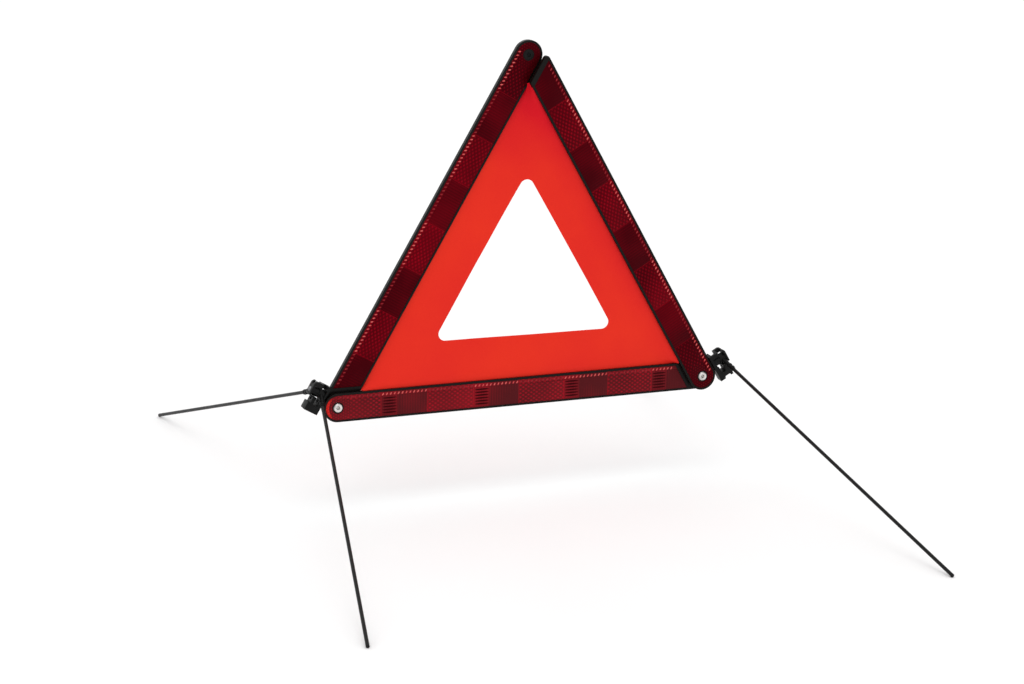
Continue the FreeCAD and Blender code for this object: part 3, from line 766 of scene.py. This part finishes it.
def sheet_piece():
    """The stretched cloth, with its edges in the arms' grooves and a rounded opening."""
    low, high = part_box("fluorescent_sheet")
    arm_low, arm_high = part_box("bottom_arm_carrier")
    bm = bmesh.new()
    uv = bm.loops.layers.uv.new("cloth")
    # A layer for the cloth's painted shade
    bm.verts.layers.float.new("painted_shade")
    rings = cloth_rings(bm, inner=centre.z - arm_low.z - HOLE_OFFSET, clear=centre.z - arm_high.z,
                        outer=centre.z - low.z)
    for near_row, far_row in zip(rings, rings[1:]):
        for step in range(SHEET_TURNS):
            after = (step + 1) % SHEET_TURNS
            bm.faces.new((near_row[step], near_row[after], far_row[after], far_row[step]))
    bmesh.ops.recalc_face_normals(bm, faces=bm.faces)
    for face in bm.faces:
        for loop in face.loops:
            loop[uv].uv = loop.vert.co.xz
    flat_area = abs(ring_area(rings[-1]) - ring_area(rings[0]))
    surface_depth = mean_depth(bm)
    bmesh.ops.solidify(bm, geom=bm.faces[:], thickness=SHEET_THICK)
    # Solidify adds the thickness on one side, so the cloth moves back to the middle of the grooves
    bm.transform(Matrix.Translation(centre + Vector((0, surface_depth - mean_depth(bm), 0))))
    mesh = bpy.data.meshes.new("fluorescent_cloth")
    bm.to_mesh(mesh)
    bm.free()
    shade(mesh, sharp_angle=60)
    mesh.materials.append(MATERIALS["cloth"])
    piece = new_piece("fluorescent_cloth", mesh, "frame", "fluorescent_fabric", "fluorescent_sheet")
    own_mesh(piece)


# ---------------------------------------------------------------- rivets and stud

# Radii of the turned parts, and heights from the front of the head, which is at 0, to the back
BORE = 1.9 * MM
DIMPLE = 0.9 * MM            # rounding where the bore opens into the head
DIMPLE_DEPTH = 1.3 * MM
CROWN = 1.35 * MM            # rounding of the rivet's head
CROWN_INSET = 1.55 * MM      # from the head's edge to the middle of that rounding
RIVET_HEAD = 1.7 * MM
RIVET_SHANK = 2.5 * MM
FLANGE = 3.85 * MM
FLANGE_THICK = 0.6 * MM
SOCKET = 2.3 * MM
STUD_RIM = 0.45 * MM
STUD_EDGE = 0.6 * MM
STUD_HEAD = 1.45 * MM
STUD_SHANK = 3.0 * MM
STUD_END = 0.4 * MM          # rounding of the shank's end


def facing_front(node):
    """A frame on a turned node's axis, with its origin at the node's front and Z to the front."""
    low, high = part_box(node)
    middle = (low + high) / 2
    return Matrix.Translation((middle.x, low.y, middle.z)) @ Matrix.Rotation(math.pi / 2, 4, "X")


def turned_sizes(node):
    """A turned node's head radius and whole length."""
    low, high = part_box(node)
    return (high.x - low.x) / 2, high.y - low.y


def rivet_piece(node, body):
    """A tubular rivet: a domed head with a rolled dimple, a shank and a set flange."""
    head, length = turned_sizes(node)
    profile = arc_points((BORE + DIMPLE, -DIMPLE_DEPTH), DIMPLE, 180, 90, 5)[:-1]
    profile += [(2.7 * MM, -0.35 * MM), (3.1 * MM, -0.06 * MM), (3.5 * MM, 0.0)]
    profile += arc_points((head - CROWN_INSET, -CROWN), CROWN, 84, 0, 8)[:-1]
    profile += [(head, -CROWN), (head, -1.55 * MM), (head - 0.15 * MM, -RIVET_HEAD)]
    profile += [(RIVET_SHANK, -RIVET_HEAD)]
    profile += [(RIVET_SHANK, FLANGE_THICK - length), (FLANGE, FLANGE_THICK - length)]
    profile += arc_points((3.75 * MM, 0.3 * MM - length), 0.25 * MM, 60, -90, 5)
    profile += [(2.2 * MM, 0.05 * MM - length), (BORE, 0.35 * MM - length)]
    mesh = lathe(node + "_turned", profile, facing_front(node))
    mesh.materials.append(MATERIALS["zinc"])
    new_piece(node + "_turned", mesh, body, "zinc_steel", node)


def stud_piece():
    """The black latch stud: a rounded rim about a dark socket, and a plain shank."""
    node = "latch_stud"
    head, length = turned_sizes(node)
    profile = [(0.0, -2.7 * MM), (2.0 * MM, -2.35 * MM), (SOCKET, -2.1 * MM), (SOCKET, -0.5 * MM)]
    profile += arc_points((2.75 * MM, -STUD_RIM), STUD_RIM, 180, 90, 4)
    profile += arc_points((head - STUD_EDGE, -STUD_EDGE), STUD_EDGE, 90, 0, 6)
    profile += [(head, -STUD_HEAD), (STUD_SHANK, -STUD_HEAD), (STUD_SHANK, STUD_END - length)]
    profile += arc_points((2.6 * MM, STUD_END - length), STUD_END, 0, -90, 4)
    profile += [(0.0, -length)]
    mesh = lathe(node + "_turned", profile, facing_front(node))
    mesh.materials.append(MATERIALS["bracket"])
    new_piece(node + "_turned", mesh, "left_arm", "bracket_plastic", node)


# ---------------------------------------------------------------- brackets, hubs and wires

BRACKET_ROUND = 0.45 * MM
HUB_ROUND = 0.3 * MM
WIRE_RADIUS = 2.0 * MM
WIRE_TIP = 0.9 * MM          # rounding of the wire's end
WIRE_PARTS = 60
AT_TIP = 0.1 * MM            # vertices this close to the furthest one belong to the tip


def softened(node, body, width):
    """A moulded CAD node with its edges rounded, which stands for the node."""
    bm = bmesh.new()
    bm.from_mesh(nodes[node].data)
    bmesh.ops.remove_doubles(bm, verts=bm.verts, dist=WELD)
    bmesh.ops.dissolve_limit(bm, angle_limit=math.radians(1), verts=bm.verts, edges=bm.edges)
    sharp = bpy.data.meshes.new(node + "_sharp")
    bm.to_mesh(sharp)
    bm.free()
    holder = bpy.data.objects.new(node + "_sharp", sharp)
    bpy.context.scene.collection.objects.link(holder)
    bevel = holder.modifiers.new("round", "BEVEL")
    bevel.width = width
    bevel.segments = 3
    bevel.limit_method = "ANGLE"
    bevel.angle_limit = SHARP_EDGE
    shapes = bpy.context.evaluated_depsgraph_get()
    rounded = bpy.data.meshes.new_from_object(holder.evaluated_get(shapes))
    bpy.data.objects.remove(holder)
    bpy.data.meshes.remove(sharp)
    shade(rounded, sharp_angle=50)
    rounded.materials.clear()
    rounded.materials.append(MATERIALS["bracket"])
    new_piece(node + "_soft", rounded, body, "bracket_plastic", node)


def wire_piece(leg):
    """A straight coated wire with a blunt rounded tip."""
    node = leg + "_leg_wire"
    pivot = Vector(joints[leg + "_leg_swing"]["pos_m"])
    spots = [vert.co.copy() for vert in nodes[node].data.vertices]
    length = max((spot - pivot).length for spot in spots)
    tip_ring = [spot for spot in spots if (spot - pivot).length > length - AT_TIP]
    along = (sum(tip_ring, Vector()) / len(tip_ring) - pivot).normalized()
    reaches = [(spot - pivot).dot(along) for spot in spots]
    start, end = min(reaches), max(reaches)
    straight = end - WIRE_TIP - start
    profile = [(0.0, start), (WIRE_RADIUS, start)]
    profile += [(WIRE_RADIUS, start + straight * step / WIRE_PARTS) for step in range(1, WIRE_PARTS)]
    profile += arc_points((WIRE_RADIUS - WIRE_TIP, end - WIRE_TIP), WIRE_TIP, 0, 90, 6) + [(0.0, end)]
    turn = along.to_track_quat("Z", "Y").to_matrix().to_4x4()
    mesh = lathe(node + "_drawn", profile, Matrix.Translation(pivot) @ turn, segments=32)
    mesh.materials.append(MATERIALS["wire"])
    new_piece(node + "_drawn", mesh, leg + "_leg", "black_coated_wire", node)


# ---------------------------------------------------------------- assembly

FLOOR_HALF = 14.0

# CAD nodes that stay in view, on both sides, and their materials
SIDE_PARTS = {
    "corner_washer": "zinc",
    "pivot_spacer": "nylon",
    "hub_washer": "nylon",
    "leg_pin": "dark",
    "bracket_screws": "dark",
}


def paint(node, material):
    """Gives a CAD node that stays in view its material."""
    item = nodes[node]
    item.data.materials.clear()
    item.data.materials.append(MATERIALS[material])


def make_floor():
    """A plain floor under the feet, far wider than the picture."""
    bpy.ops.mesh.primitive_grid_add(x_subdivisions=8, y_subdivisions=8, size=2 * FLOOR_HALF,
                                    location=(0, 0, cad_low.z))
    floor = bpy.context.object
    floor.name = "studio_floor"
    floor.data.materials.append(floor_white())


make_camera()
make_light()
for arm_name in ARMS:
    lens_piece(arm_name)
    paint(arm_name + "_arm_carrier", "carrier")
sheet_piece()
rivet_piece("left_corner_rivet", "frame")
rivet_piece("right_corner_rivet", "frame")
stud_piece()
for side_name in ("left", "right"):
    softened(side_name + "_leg_bracket", side_name + "_arm", BRACKET_ROUND)
    for part_name, material_name in SIDE_PARTS.items():
        paint(side_name + "_" + part_name, material_name)
    for end_name in ("front", "rear"):
        leg_name = end_name + "_" + side_name
        wire_piece(leg_name)
        softened(leg_name + "_leg_hub", leg_name + "_leg", HUB_ROUND)
paint("latch_ring", "dark")
paint("sheet_pins", "nylon")
make_floor()
